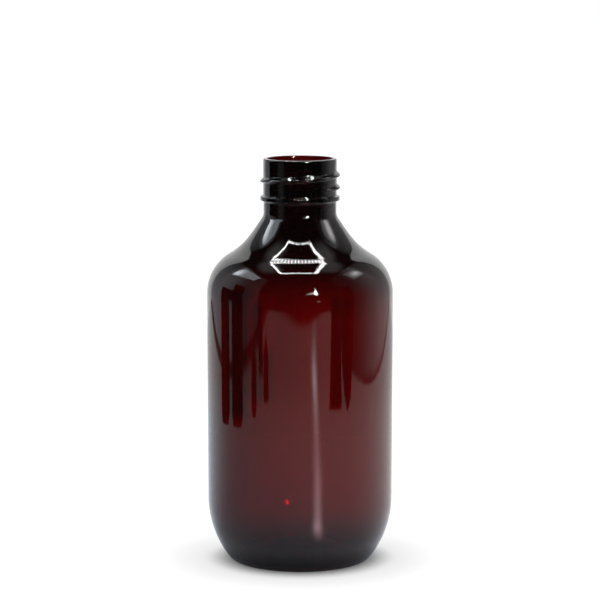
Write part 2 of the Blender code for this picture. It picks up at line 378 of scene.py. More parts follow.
def thread_relief(azimuth, height):
    """The thread's height over the neck wall. Each whole turn that the strand could have made is
    tried, and the highest result is kept."""
    sweep = THREAD_TURNS * TURN
    first = np.mod(azimuth - THREAD_LOW_END_AZIMUTH, TURN)
    relief = np.zeros(np.broadcast(azimuth, height).shape)
    for made in range(math.ceil(THREAD_TURNS)):
        angle = first + made * TURN
        near_end = np.clip(np.minimum(angle, sweep - angle) / THREAD_FADE_ANGLE, 0, 1)
        fade = near_end**2 * (3 - 2 * near_end)
        swell = THREAD_END_SWELL_SHARE + (1 - THREAD_END_SWELL_SHARE) * fade
        full = (THREAD_DEPTH + THREAD_ROOT_SINK) * swell
        above = height - (HEIGHT - THREAD_LOW_END_DEPTH + THREAD_PITCH * angle / TURN)
        flank = np.where(above > 0, THREAD_UPPER_FLANK_ANGLE, THREAD_LOWER_FLANK_ANGLE)
        past_crest = (np.abs(above) - THREAD_CREST_WIDTH / 2) / (full * np.tan(flank))
        rise = full * eased_ramp(1 - past_crest, THREAD_EASE_SHARE) - THREAD_ROOT_SINK
        relief = np.maximum(relief, np.where(angle <= sweep, rise, 0))
    return relief


# %% [markdown]
# ## From the section to a closed skin
#
# Each row of the section becomes a ring of points. A ring's radius is the row's radius plus the thread's
# relief where the row lies on the thread wall, and less the unevenness where it lies inside. The two rows on
# the axis are single points, closed by triangles, so the skin has no hole and no doubled point. A closed skin
# is needed: the render works out how far light travels inside the plastic, and a gap would let it leak.

# %% The grid and its mesh
COLUMNS = 192
SAME_RADIUS = 0.001 * MM
UNEVEN_FROM_DEPTH = 24 * MM
UNEVEN_FULL_DEPTH = 50 * MM


def smooth_step(value, start, end):
    """0 at start, 1 at end and 3 t^2 - 2 t^3 between, with t the share of the way from one to the other."""
    share = np.clip((value - start) / (end - start), 0, 1)
    return share**2 * (3 - 2 * share)


def on_thread_wall(radius, height):
    """1 on the straight wall that carries the thread, 0 elsewhere."""
    wall_top = HEIGHT - RIM_OUTER_ROUND
    wall_foot = HEIGHT - RING_TOP_DEPTH + RING_ROOT_FILLET
    return (np.abs(radius - FINISH_RADIUS) < SAME_RADIUS) & (height <= wall_top) & (height >= wall_foot)


def thinning(azimuth, radius, height, rows_inside):
    """How far the inside moves in at an azimuth: the unevenness times the cosine of the angle from
    the thick side, growing with depth below the rim and fading out towards the axis."""
    grown = smooth_step(HEIGHT - height, UNEVEN_FROM_DEPTH, UNEVEN_FULL_DEPTH)
    wide = np.clip(radius / BODY_RADIUS, 0, 1)
    is_inside = (np.arange(len(radius)) < rows_inside)[:, None]
    return UNEVENNESS * grown * wide * is_inside * np.cos(azimuth - THICK_SIDE_AZIMUTH)


def skin_points(section, rows_inside):
    """x = R cos a, y = R sin a, z = the row's height, with R the row's radius plus the thread's
    relief and less the inside's shift."""
    azimuth = np.arange(COLUMNS) * TURN / COLUMNS
    radius, height = section[1:-1, 0][:, None], section[1:-1, 1][:, None]
    full = radius + thread_relief(azimuth[None, :], height) * on_thread_wall(radius, height)
    full = full - thinning(azimuth[None, :], radius, height, rows_inside)
    rings = np.dstack([full * np.cos(azimuth), full * np.sin(azimuth), np.broadcast_to(height, full.shape)])
    poles = np.array([[0, 0, section[0, 1]], [0, 0, section[-1, 1]]])
    return np.vstack([rings.reshape(-1, 3), poles])


def skin_faces(rings):
    """Quads between neighbouring rings and a fan of triangles at each pole, all facing outwards."""
    here = np.arange(COLUMNS)
    there = (here + 1) % COLUMNS
    start = np.arange(rings - 1)[:, None] * COLUMNS
    quads = np.dstack([start + here, start + COLUMNS + here, start + COLUMNS + there, start + there])
    first_pole = rings * COLUMNS
    last_row = (rings - 1) * COLUMNS
    top_fan = np.column_stack([np.full(COLUMNS, first_pole), here, there])
    end_fan = np.column_stack([np.full(COLUMNS, first_pole + 1), last_row + there, last_row + here])
    return quads.reshape(-1, 4).tolist() + top_fan.tolist() + end_fan.tolist()


def skin(name, section, rows_inside):
    """The section carried round the axis as one closed, smooth mesh."""
    points = skin_points(section, rows_inside)
    mesh = bpy.data.meshes.new(name)
    mesh.from_pydata(points.tolist(), [], skin_faces(len(section) - 2))
    mesh.shade_smooth()
    thing = bpy.data.objects.new(name, mesh)
    bpy.context.scene.collection.objects.link(thing)
    return thing


bottle = skin("moulded_bottle", section, len(inside) - 1)


def volume_of(mesh):
    """The volume enclosed: a sixth of the sum of each triangle's corner determinant. It is above 0
    only if the faces point outwards."""
    mesh.calc_loop_triangles()
    corners = np.empty(len(mesh.loop_triangles) * 3, np.int32)
    mesh.loop_triangles.foreach_get("vertices", corners)
    points = np.empty(len(mesh.vertices) * 3, np.float32)
    mesh.vertices.foreach_get("co", points)
    triangles = points.reshape(-1, 3).astype(float)[corners].reshape(-1, 3, 3)
    return np.linalg.det(triangles).sum() / 6


PET_DENSITY = 1380
CUBIC_CM = 1e-6
GRAM = 1e-3
volume = volume_of(bottle.data)
print(f"{len(bottle.data.loop_triangles)} triangles, {volume / CUBIC_CM:.2f} cm3 of plastic, "
      f"{volume * PET_DENSITY / GRAM:.1f} g")

# %% [markdown]
# ## Surface effects as node groups
#
# Blown plastic is glossy but never perfect. Two effects are worth having. The first is a set of shallow
# waves: the wall sets while it still presses on the mould, so reflections wander a little, more along the
# bottle's length than across it. The second is handling: soft smudges, and fine rubbing on the ring that the
# bottle stands on and round the widest part, where bottles touch in their carton.
#
# Both are shader node groups. They read Object coordinates, which here are metres on the bottle.

# %% Small helpers for nodes
def new_group(name, inputs, output):
    """A shader node group with named float inputs and one named float output. Returns the group,
    the inputs as its nodes see them, and the output as a socket to wire into."""
    group = bpy.data.node_groups.new(name, "ShaderNodeTree")
    for label in inputs:
        socket = group.interface.new_socket(name=label, in_out="INPUT", socket_type="NodeSocketFloat")
        socket.default_value = 1.0
    group.interface.new_socket(name=output, in_out="OUTPUT", socket_type="NodeSocketFloat")
    return group, group.nodes.new("NodeGroupInput").outputs, group.nodes.new("NodeGroupOutput").inputs[output]


def maths(tree, operation, *values):
    """A Math node; each value is a number or another node's output."""
    node = tree.nodes.new("ShaderNodeMath")
    node.operation = operation
    for socket, value in zip(node.inputs, values):
        if isinstance(value, (int, float)):
            socket.default_value = value
        else:
            tree.links.new(value, socket)
    return node.outputs[0]


def eased(tree, value, start, end):
    """0 where value is at start, 1 where it is at end, with a smooth step between."""
    node = tree.nodes.new("ShaderNodeMapRange")
    node.interpolation_type = "SMOOTHSTEP"
    tree.links.new(value, node.inputs["Value"])
    node.inputs["From Min"].default_value = start
    node.inputs["From Max"].default_value = end
    return node.outputs["Result"]


def noise(tree, stretch, scale, detail, roughness):
    """Noise on Object coordinates, stretched first by a factor for each axis."""
    place = tree.nodes.new("ShaderNodeTexCoord")
    mapping = tree.nodes.new("ShaderNodeMapping")
    mapping.inputs["Scale"].default_value = stretch
    texture = tree.nodes.new("ShaderNodeTexNoise")
    texture.inputs["Scale"].default_value = scale
    texture.inputs["Detail"].default_value = detail
    texture.inputs["Roughness"].default_value = roughness
    tree.links.new(place.outputs["Object"], mapping.inputs["Vector"])
    tree.links.new(mapping.outputs["Vector"], texture.inputs["Vector"])
    return texture.outputs["Fac"]


def place_on_bottle(tree):
    """X, Y and Z of Object coordinates, in metres: Z is the height above the table."""
    place = tree.nodes.new("ShaderNodeTexCoord")
    split = tree.nodes.new("ShaderNodeSeparateXYZ")
    tree.links.new(place.outputs["Object"], split.inputs["Vector"])
    return split.outputs


# %% Blowing waves: a height for a Bump node
WAVE_NOISE = {"stretch": (1.0, 1.0, 0.35), "scale": 60, "detail": 1.0, "roughness": 0.4}
PEEL_NOISE = {"stretch": (1.0, 1.0, 1.0), "scale": 900, "detail": 2.0, "roughness": 0.5}


def blowing_waves():
    """Long shallow waves plus a much finer orange peel, each with its own weight."""
    group, weights, height = new_group("blowing_waves", ["Waves", "Peel"], "Height")
    waves = maths(group, "MULTIPLY", noise(group, **WAVE_NOISE), weights["Waves"])
    peel = maths(group, "MULTIPLY", noise(group, **PEEL_NOISE), weights["Peel"])
    group.links.new(maths(group, "ADD", waves, peel), height)
    return group


waves_group = blowing_waves()
print(f"{waves_group.name}: {len(waves_group.nodes)} nodes")

# %% Handling: a mask of smudges and rubbing
SMUDGE_NOISE = {"stretch": (1.0, 1.0, 0.7), "scale": 38, "detail": 3.0, "roughness": 0.55}
SMUDGE_FROM, SMUDGE_TO = 0.50, 0.72
SCRATCH_NOISE = {"stretch": (1.0, 1.0, 9.0), "scale": 260, "detail": 2.0, "roughness": 0.6}
SCRATCH_FROM, SCRATCH_TO = 0.66, 0.74
STANDING_RUB_TOP = 1.6 * MM
BELT_LOW = 55 * MM
BELT_HIGH = 92 * MM
BELT_LOW_EDGE = 14 * MM
BELT_HIGH_EDGE = 7 * MM


def handling():
    """Smudges everywhere, rubbing near the standing ring, and fine short scratches on the belt."""
    group, weights, mask = new_group("handling", ["Smudges", "Rubbing"], "Mask")
    height = place_on_bottle(group)["Z"]
    smudge = eased(group, noise(group, **SMUDGE_NOISE), SMUDGE_FROM, SMUDGE_TO)
    foot = eased(group, height, STANDING_RUB_TOP, 0.0)
    belt_low = eased(group, height, BELT_LOW - BELT_LOW_EDGE, BELT_LOW)
    belt_high = eased(group, height, BELT_HIGH + BELT_HIGH_EDGE, BELT_HIGH)
    belt = maths(group, "MULTIPLY", belt_low, belt_high)
    scratch = eased(group, noise(group, **SCRATCH_NOISE), SCRATCH_FROM, SCRATCH_TO)
    rubbed = maths(group, "MAXIMUM", foot, maths(group, "MULTIPLY", belt, scratch))
    smudges = maths(group, "MULTIPLY", smudge, weights["Smudges"])
    rubs = maths(group, "MULTIPLY", rubbed, weights["Rubbing"])
    group.links.new(maths(group, "ADD", smudges, rubs), mask)
    return group


handling_group = handling()
print(f"{handling_group.name}: {len(handling_group.nodes)} nodes")

# %% [markdown]
# ## The amber plastic
#
# Clear dark plastic could be faked with a dark colour and some transparency, but then the thick neck would
# look no darker than the thin body. So the surface is nearly clear and the colour sits inside, as a Volume
# Absorption: red fades to a ninth within a millimetre, and green and blue to almost nothing. Light that
# crosses both walls of the body comes out deep red; the thick neck lets almost nothing through.
#
# The gloss needs no colour at all. Plastic of this kind bends light by 1.57, which makes it reflect one part
# in twenty of what stands in front of it, and nearly everything at its edges.

# %% The bottle's material
AMBER_SURFACE = (0.97, 0.42, 0.33, 1.0)
AMBER_STREAK = (0.88, 0.34, 0.26, 1.0)
ABSORPTION_DENSITY = 9000
ABSORPTION_COLOUR = (0.760, 0.04, 0.0, 1.0)
PLASTIC_IOR = 1.57
GLOSS_ROUGHNESS = 0.03
WORN_ROUGHNESS = 0.16
STREAK_NOISE = {"stretch": (1.0, 1.0, 0.12), "scale": 120, "detail": 3.0, "roughness": 0.6}
STREAK_FROM, STREAK_TO = 0.35, 0.75
GATE_FROST_RADIUS = 4.0 * MM
GATE_FROST_TOP = 7.5 * MM
WAVE_HEIGHT = 0.02 * MM
WAVES_SHARE = 1.0
PEEL_SHARE = 0.012
SMUDGES_SHARE = 0.25
RUBBING_SHARE = 0.8


def placed_group(tree, group, **values):
    """A node group in a material, with its inputs set."""
    node = tree.nodes.new("ShaderNodeGroup")
    node.node_tree = group
    for label, value in values.items():
        node.inputs[label].default_value = value
    return node


def amber_plastic(waves, wear):
    """Clear plastic whose colour is in its depth, with faint flow streaks, waves and handling."""
    material = bpy.data.materials.new("amber_plastic")
    material.use_nodes = True
    tree = material.node_tree
    shader = tree.nodes["Principled BSDF"]
    shader.inputs["IOR"].default_value = PLASTIC_IOR
    shader.inputs["Transmission Weight"].default_value = 1.0

    streaks = tree.nodes.new("ShaderNodeMix")
    streaks.data_type = "RGBA"
    streaks.inputs["A"].default_value = AMBER_SURFACE
    streaks.inputs["B"].default_value = AMBER_STREAK
    streak = eased(tree, noise(tree, **STREAK_NOISE), STREAK_FROM, STREAK_TO)
    tree.links.new(streak, streaks.inputs["Factor"])
    tree.links.new(streaks.outputs["Result"], shader.inputs["Base Color"])

    mask = placed_group(tree, wear, Smudges=SMUDGES_SHARE, Rubbing=RUBBING_SHARE).outputs["Mask"]
    place = place_on_bottle(tree)
    across_squared = maths(tree, "MULTIPLY", place["X"], place["X"])
    from_axis = maths(tree, "SQRT", maths(tree, "MULTIPLY_ADD", place["Y"], place["Y"], across_squared))
    near_gate = eased(tree, from_axis, GATE_FROST_RADIUS, GATE_RADIUS)
    frost = maths(tree, "MULTIPLY", near_gate, eased(tree, place["Z"], GATE_FROST_TOP, PUSH_UP_HEIGHT))
    dull = maths(tree, "MINIMUM", maths(tree, "ADD", mask, frost), 1.0)
    rough = maths(tree, "MULTIPLY_ADD", dull, WORN_ROUGHNESS - GLOSS_ROUGHNESS, GLOSS_ROUGHNESS)
    tree.links.new(rough, shader.inputs["Roughness"])

    bump = tree.nodes.new("ShaderNodeBump")
    bump.inputs["Strength"].default_value = 1.0
    bump.inputs["Distance"].default_value = WAVE_HEIGHT
    height = placed_group(tree, waves, Waves=WAVES_SHARE, Peel=PEEL_SHARE).outputs["Height"]
    tree.links.new(height, bump.inputs["Height"])
    tree.links.new(bump.outputs["Normal"], shader.inputs["Normal"])

    absorption = tree.nodes.new("ShaderNodeVolumeAbsorption")
    absorption.inputs["Color"].default_value = ABSORPTION_COLOUR
    absorption.inputs["Density"].default_value = ABSORPTION_DENSITY
    tree.links.new(absorption.outputs["Volume"], tree.nodes["Material Output"].inputs["Volume"])
    return material


bottle.data.materials.append(amber_plastic(waves_group, handling_group))
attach(bottle, BODY_NAME)
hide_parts(NODE)

# %% [markdown]
# ## Floor and backdrop
#
# Clear plastic has no look of its own: it shows what is behind it and mirrors what is round it. So the set
# matters as much as the material. The bottle stands on a matt sheet in plain white surroundings. The floor's
# diffuse part keeps the soft shadow, and a plain glow brings it up to white for the camera and for light
# seen through the bottle.
#
# Both glows grow with the distance from the bottle. The camera's is faint under the heel, so the shadow is
# deepest where the bottle stands. Light seen through the bottle gets none of it right behind the heel. There
# the plastic keeps the light off the floor, so the heel shows dark and without red.

# %% Small helpers for the set
def placed_object(name, mesh):
    """Link a mesh as part of the set."""
    thing = bpy.data.objects.new(name, mesh)
    bpy.context.scene.collection.objects.link(thing)
    return thing


def bare_material(name):
    """A material with nothing but its output node."""
    material = bpy.data.materials.new(name)
    material.use_nodes = True
    material.node_tree.nodes.remove(material.node_tree.nodes["Principled BSDF"])
    return material


# %% The floor
FLOOR_HALF = 6.0
FLOOR_GREY = 0.60
FLOOR_WHITE = 1.02
SHADED_RADIUS = 30 * MM
LIT_RADIUS = 68 * MM
CONTACT_GLOW = 0.10
CONTACT_RADIUS = 22 * MM
NEAR_RADIUS = 34 * MM
NEAR_ADDED = 0.37
OPEN_RADIUS = 54 * MM
OPEN_ADDED = 0.08


def floor_material():
    """A grey sheet that takes shadows, plus a glow that only the camera and the light through the
    bottle get. Both glows are smooth steps of the distance from the bottle."""
    material = bare_material("floor_sheet")
    tree = material.node_tree
    path = tree.nodes.new("ShaderNodeLightPath")
    place = tree.nodes.new("ShaderNodeTexCoord")
    reach = tree.nodes.new("ShaderNodeVectorMath")
    reach.operation = "LENGTH"
    tree.links.new(place.outputs["Object"], reach.inputs[0])
    away = reach.outputs["Value"]
    lit = maths(tree, "MULTIPLY", eased(tree, away, SHADED_RADIUS, LIT_RADIUS), FLOOR_WHITE - FLOOR_GREY)
    through = maths(tree, "MULTIPLY", lit, path.outputs["Is Transmission Ray"])
    near = eased(tree, away, CONTACT_RADIUS, NEAR_RADIUS)
    near = maths(tree, "MULTIPLY_ADD", near, NEAR_ADDED, CONTACT_GLOW)
    bare = maths(tree, "MULTIPLY_ADD", eased(tree, away, NEAR_RADIUS, OPEN_RADIUS), OPEN_ADDED, near)
    seen = maths(tree, "MULTIPLY_ADD", bare, path.outputs["Is Camera Ray"], through)
    diffuse = tree.nodes.new("ShaderNodeBsdfDiffuse")
    diffuse.inputs["Color"].default_value = (FLOOR_GREY, FLOOR_GREY, FLOOR_GREY, 1)
    glow = tree.nodes.new("ShaderNodeEmission")
    tree.links.new(seen, glow.inputs["Strength"])
    both = tree.nodes.new("ShaderNodeAddShader")
    tree.links.new(diffuse.outputs[0], both.inputs[0])
    tree.links.new(glow.outputs[0], both.inputs[1])
    tree.links.new(both.outputs[0], tree.nodes["Material Output"].inputs["Surface"])
    return material


floor_corners = [(FLOOR_HALF * x, FLOOR_HALF * y, 0) for x, y in ((-1, -1), (1, -1), (1, 1), (-1, 1))]
floor_mesh = bpy.data.meshes.new("floor")
floor_mesh.from_pydata(floor_corners, [], [(0, 1, 2, 3)])
floor_mesh.materials.append(floor_material())
placed_object("floor", floor_mesh)
print(f"floor: {2 * FLOOR_HALF:.0f} m across")

# %% White surroundings
WORLD_LIGHT = 0.62


def white_world():
    """White where it is seen, mirrored or seen through the bottle, and softer where it lights."""
    world = bpy.data.worlds.new("white_surroundings")
    world.use_nodes = True
    tree = world.node_tree
    path = tree.nodes.new("ShaderNodeLightPath")
    bent = maths(tree, "MAXIMUM", path.outputs["Is Glossy Ray"], path.outputs["Is Transmission Ray"])
    seen = maths(tree, "MAXIMUM", path.outputs["Is Camera Ray"], bent)
    background = tree.nodes["Background"]
    background.inputs["Color"].default_value = (1, 1, 1, 1)
    strength = maths(tree, "MULTIPLY_ADD", seen, 1 - WORLD_LIGHT, WORLD_LIGHT)
    tree.links.new(strength, background.inputs["Strength"])
    return world


scene = bpy.context.scene
scene.world = white_world()
print(f"world: {scene.world.name}, lighting at {WORLD_LIGHT}")

# %% [markdown]
# ## Sheets for the reflections
#
# All-white surroundings would lay an even grey veil over the whole bottle and hide its shape. Photographers
# put black cards in front and bright panels at the sides and above, and the edges of those draw the form.
# The sheets here do just that. They are seen in reflections only: the camera, the shadows and the light that
# comes through the bottle pass them by. Two small ones, at the end, are seen only through the bottle.
#
# A sheet is a grid of points with a colour at each point, its glow, worked out with numpy from where the
# point lies and kept in a mesh attribute. So one material serves them all. A second one adds its glow to
# what lies behind it, for bright spots with soft edges.

# %% The sheets' tints and their two materials
NEUTRAL = (1.0, 1.0, 1.0)
SKY_TINT = (0.92, 1.0, 1.06)
FLOOR_TINT = (0.92, 1.0, 1.11)
PATH_TINT = (1.45, 0.95, 1.05)


def glow_material(name, adds):
    """A plain glow in the sheet's own Glow colours. One that adds also lets through what is behind."""
    material = bare_material(name)
    tree = material.node_tree
    colour = tree.nodes.new("ShaderNodeAttribute")
    colour.attribute_name = "Glow"
    glow = tree.nodes.new("ShaderNodeEmission")
    tree.links.new(colour.outputs["Color"], glow.inputs["Color"])
    result = glow
    if adds:
        result = tree.nodes.new("ShaderNodeAddShader")
        tree.links.new(glow.outputs[0], result.inputs[0])
        tree.links.new(tree.nodes.new("ShaderNodeBsdfTransparent").outputs[0], result.inputs[1])
    tree.links.new(result.outputs[0], tree.nodes["Material Output"].inputs["Surface"])
    material.cycles.emission_sampling = "NONE"
    return material


CARD = glow_material("card_glow", adds=False)
SHINE = glow_material("added_glow", adds=True)
print(f"sheet materials: {CARD.name}, {SHINE.name}")

# %% How a sheet is hung
def hung(name, points, faces, glow, tint, material, through=False):
    """Link a sheet with a glow at each point: its brightness times a tint. Only reflections see it,
    or, with through, only the light that comes through the bottle."""
    mesh = bpy.data.meshes.new(name)
    mesh.from_pydata(points.reshape(-1, 3).tolist(), [], faces)
    colour = np.ones((len(mesh.vertices), 4))
    brightness = np.broadcast_to(glow, points.shape[:-1])
    colour[:, :3] = (brightness[..., None] * np.asarray(tint)).reshape(-1, 3)
    mesh.attributes.new("Glow", "FLOAT_COLOR", "POINT").data.foreach_set("color", colour.ravel())
    mesh.materials.append(material)
    thing = placed_object(name, mesh)
    thing.visible_camera = False
    thing.visible_diffuse = False
    thing.visible_glossy = not through
    thing.visible_transmission = through
    thing.visible_volume_scatter = False
    thing.visible_shadow = False


def sheet(name, points, glow, tint=NEUTRAL, material=CARD, through=False):
    """Hang a grid of points (rows, columns, 3) with a quad between each four neighbours."""
    rows, columns = points.shape[:2]
    corner = (np.arange(rows - 1)[:, None] * columns + np.arange(columns - 1)).ravel()
    faces = np.column_stack([corner, corner + 1, corner + columns + 1, corner + columns])
    hung(name, points, faces.tolist(), glow, tint, material, through)


# %% Grids to hang, and a bell curve for their light
def patch(corners, columns, rows):
    """A grid over four corners: the corners weighted by (1-u)(1-v), u(1-v), uv and (1-u)v."""
    v, u = np.meshgrid(np.linspace(0, 1, rows), np.linspace(0, 1, columns), indexing="ij")
    weights = np.stack([(1 - u) * (1 - v), u * (1 - v), u * v, (1 - u) * v], axis=-1)
    return weights @ np.asarray(corners, float)


def upright(start, end, low_z, high_z, columns=2, rows=2):
    """A grid standing between two places (x, y) of the floor plan."""
    return patch([(*start, low_z), (*end, low_z), (*end, high_z), (*start, high_z)], columns, rows)


def level(x_span, y_span, z, columns=2, rows=2):
    """A level grid over two ranges at one height."""
    (x0, x1), (y0, y1) = x_span, y_span
    return patch([(x0, y0, z), (x1, y0, z), (x1, y1, z), (x0, y1, z)], columns, rows)


def bump_of(distance, half_width):
    """A bell curve, exp(-(distance / half_width)^2)."""
    return np.exp(-((distance / half_width) ** 2))


# %% [markdown]
# ## A tent of sheets, open to the dark at the front
#
# The bottle stands in a white tent that is open towards the camera. Its back and sides are bright and its
# front is dark. So is its top, but for a dim ring round the light frame that hangs there. The side walls fade
# towards the front, the left one in two steps, so the bottle's edges are grey and its middle stays deep in
# colour.

# %% The tent's size, its back and the dark in front
LEFT_X = -0.44
RIGHT_X = 0.387
TENT_TOP = 0.66
TENT_BACK_Y = 0.52
TENT_FRONT_Y = -0.56
ROOM_FRONT_Y = -1.05
ROOM_HALF = 1.30
ROOM_TOP = 1.20
DARK = 0.02
BACK_LIGHT = 1.05

sheet("back_wall", upright((LEFT_X, TENT_BACK_Y), (RIGHT_X, TENT_BACK_Y), 0, TENT_TOP), BACK_LIGHT)
for side in (-1, 1):
    room_x = side * ROOM_HALF
    sheet("room_side", upright((room_x, ROOM_FRONT_Y), (room_x, TENT_BACK_Y), 0, ROOM_TOP), DARK)
sheet("room_front", upright((-ROOM_HALF, ROOM_FRONT_Y), (ROOM_HALF, ROOM_FRONT_Y), 0, ROOM_TOP), DARK)
sheet("room_top", level((-ROOM_HALF, ROOM_HALF), (ROOM_FRONT_Y, TENT_FRONT_Y), ROOM_TOP), DARK)
print(f"tent: {RIGHT_X - LEFT_X:.2f} m wide, {TENT_BACK_Y - TENT_FRONT_Y:.2f} m deep, {TENT_TOP:.2f} m high")

# %% A side wall's grid and its light
WALL_COLUMNS = 120
FOOT_BAND = 30 * MM
FOOT_ROWS = 61
CORNER_Z = (0.42, 0.50)
CORNER_LOSS_SHARE = 0.8


def side_wall(x):
    """A side wall's grid, with a row to every half millimetre near the floor."""
    height = np.append(np.linspace(0, FOOT_BAND, FOOT_ROWS), TENT_TOP)[:, None]
    along = np.linspace(TENT_FRONT_Y, TENT_BACK_Y, WALL_COLUMNS)[None, :]
    return np.dstack(np.broadcast_arrays(np.array([[x]]), along, height))


def wall_light(y, z, rises, corner_y):
    """The dark plus, for each rise (light, from y, to y), its light times a smooth step. The upper
    back corner loses a share."""
    light = DARK + sum(added * smooth_step(y, start, end) for added, start, end in rises)
    return light * (1 - CORNER_LOSS_SHARE * smooth_step(y, *corner_y) * smooth_step(z, *CORNER_Z))


# %% The left wall
LEFT_RISES = ((0.13, -0.375, -0.335), (0.40, -0.16, 0.12))
LEFT_CORNER_Y = (0.22, 0.30)
STRIP_HEIGHT = 5.3 * MM
STRIP_FALL = 3.8 * MM
STRIP_FALL_Y = (-0.06, 0.05)
STRIP_EDGE = 0.5 * MM
STRIP_LOSS_SHARE = 0.9


def left_wall_light(y, z):
    """A dim step in front, then a rise to a half. A thin dark strip runs along the foot and gets
    lower towards the back."""
    strip = STRIP_HEIGHT - STRIP_FALL * smooth_step(y, *STRIP_FALL_Y)
    dark_strip = STRIP_LOSS_SHARE * smooth_step(strip - z, -STRIP_EDGE, STRIP_EDGE)
    return wall_light(y, z, LEFT_RISES, LEFT_CORNER_Y) * (1 - dark_strip)


left_wall = side_wall(LEFT_X)
left_light = left_wall_light(left_wall[..., 1], left_wall[..., 2])
sheet("left_wall", left_wall, left_light, SKY_TINT)
print(f"left wall: from {left_light.min():.2f} to {left_light.max():.2f}")

# %% The right wall
RIGHT_RISES = ((0.05, -0.42, -0.22), (0.50, -0.18, 0.20))
RIGHT_CORNER_Y = (0.14, 0.22)
RIGHT_FOOT_Y = (-0.10, -0.03)
RIGHT_FOOT_Z = (1 * MM, 9 * MM)
RIGHT_FOOT_LOSS_SHARE = 0.65
SEAM_LIGHT = 0.14
SEAM_Y = (-0.05, -0.07)
SEAM_Z = (1.5 * MM, 2.5 * MM)


def right_wall_light(y, z):
    """A slow rise from the front, then a quicker one to a half. The foot is darker towards the back,
    with a fine light line where the wall meets the floor in front."""
    foot = RIGHT_FOOT_LOSS_SHARE * smooth_step(y, *RIGHT_FOOT_Y) * (1 - smooth_step(z, *RIGHT_FOOT_Z))
    seam = SEAM_LIGHT * smooth_step(y, *SEAM_Y) * (1 - smooth_step(z, *SEAM_Z))
    return wall_light(y, z, RIGHT_RISES, RIGHT_CORNER_Y) * (1 - foot) + seam


right_wall = side_wall(RIGHT_X)
right_light = right_wall_light(right_wall[..., 1], right_wall[..., 2])
sheet("right_wall", right_wall, right_light)
print(f"right wall: from {right_light.min():.2f} to {right_light.max():.2f}")

# %% The tent's top
TOP_ROWS = 90
HALO_LIGHT = 0.40
HALO_INNER_EDGE = (0.12, 0.17)
HALO_OUTER_EDGE = (0.27, 0.41)
HALO_FRONT_Y = (-0.20, 0.0)


def top_light(x, y):
    """A dim ring on the top, dark in front and inside, where the light frame hangs."""
    inner = smooth_step(np.maximum(np.abs(x), y), *HALO_INNER_EDGE)
    outer = 1 - smooth_step(np.hypot(x, y), *HALO_OUTER_EDGE)
    return DARK + HALO_LIGHT * inner * outer * smooth_step(y, *HALO_FRONT_Y)


tent_top = level((LEFT_X, RIGHT_X), (TENT_FRONT_Y, TENT_BACK_Y), TENT_TOP, TOP_ROWS, TOP_ROWS)
ring_light = top_light(tent_top[..., 0], tent_top[..., 1])
sheet("tent_top", tent_top, ring_light)
print(f"tent's top: up to {ring_light.max():.2f}")

# %% [markdown]
# ## The floor as the bottle mirrors it
#
# The floor is brightest behind the bottle and fades towards the camera, where it ends in the dark, nearer
# in the middle than at the sides. Close round the bottle it lies in the bottle's own shade. A lamp far in
# front leaves a bright path on the satin floor, which the body mirrors as one long upright streak. Floor and
# path are polar grids round the bottle, one just over the other, so all of this is a formula in the
# distance r from the axis and the azimuth a, counted from the front to the right.

# %% The mirrored floor
SHEET_LIFT = 0.4 * MM
PATH_LIFT = 0.2 * MM
MIRROR_NEAR = 22.5 * MM
MIRROR_FAR = 0.76
MIRROR_ROWS = 220
MIRROR_COLUMNS = 361
LEFT_LIGHT = 0.46
RIGHT_ADDED = 0.14
RIGHT_AZIMUTHS = (-45, 45)
FAR_LOSS_SHARE = 0.38
FAR_DISTANCES = (0.24, 0.46)
RIGHT_BACK_ADDED = 0.42
RIGHT_BACK_AZIMUTHS = (45, 130)
LEFT_BACK_ADDED = 0.54
LEFT_BACK_AZIMUTHS = (-82, -140)
SHADE_DISTANCES = (0.022, 0.0282, 0.0304, 0.060)
SHADE_SHARES = (0.20, 0.27, 0.78, 1.0)
FRONT_END = 0.677
NOTCH_DEPTH = 0.092
NOTCH_AZIMUTH = 3
NOTCH_HALF_WIDTH = 27
FRONT_SOFTNESS = 0.014
ADDED_SOFTNESS = 0.021
SOFT_AZIMUTH = -14
SOFT_HALF_WIDTH = 20
LEFT_SEAM_X = (LEFT_X + 34 * MM, LEFT_X + 42 * MM)
LEFT_SEAM_LOSS_SHARE = 0.9
WARM_DISTANCES = (0.08, 0.30)
WARM_SHIFT_PER_DEGREE = 1.1 * MM


def floor_light(distance, azimuth):
    """Front light, more to the right and less with distance, plus light towards the back on each
    side; the shade near the bottle; the dark beyond the notched front end and along the left wall."""
    light = LEFT_LIGHT + RIGHT_ADDED * smooth_step(azimuth, *RIGHT_AZIMUTHS)
    light = light * (1 - FAR_LOSS_SHARE * smooth_step(distance, *FAR_DISTANCES))
    light = light + RIGHT_BACK_ADDED * smooth_step(azimuth, *RIGHT_BACK_AZIMUTHS)
    light = light + LEFT_BACK_ADDED * smooth_step(azimuth, *LEFT_BACK_AZIMUTHS)
    light = light * np.interp(distance, SHADE_DISTANCES, SHADE_SHARES)
    end = FRONT_END - NOTCH_DEPTH * bump_of(azimuth - NOTCH_AZIMUTH, NOTCH_HALF_WIDTH)
    soft = FRONT_SOFTNESS + ADDED_SOFTNESS * bump_of(azimuth - SOFT_AZIMUTH, SOFT_HALF_WIDTH)
    light = light * (1 - smooth_step(distance, end - soft, end + soft))
    seam = 1 - smooth_step(distance * np.sin(np.radians(azimuth)), *LEFT_SEAM_X)
    return light * (1 - LEFT_SEAM_LOSS_SHARE * seam) + DARK


def tint_between(first, last, share):
    """A tint for each point: the first plus a share of the way to the last."""
    return np.asarray(first) + share[..., None] * (np.asarray(last) - np.asarray(first))


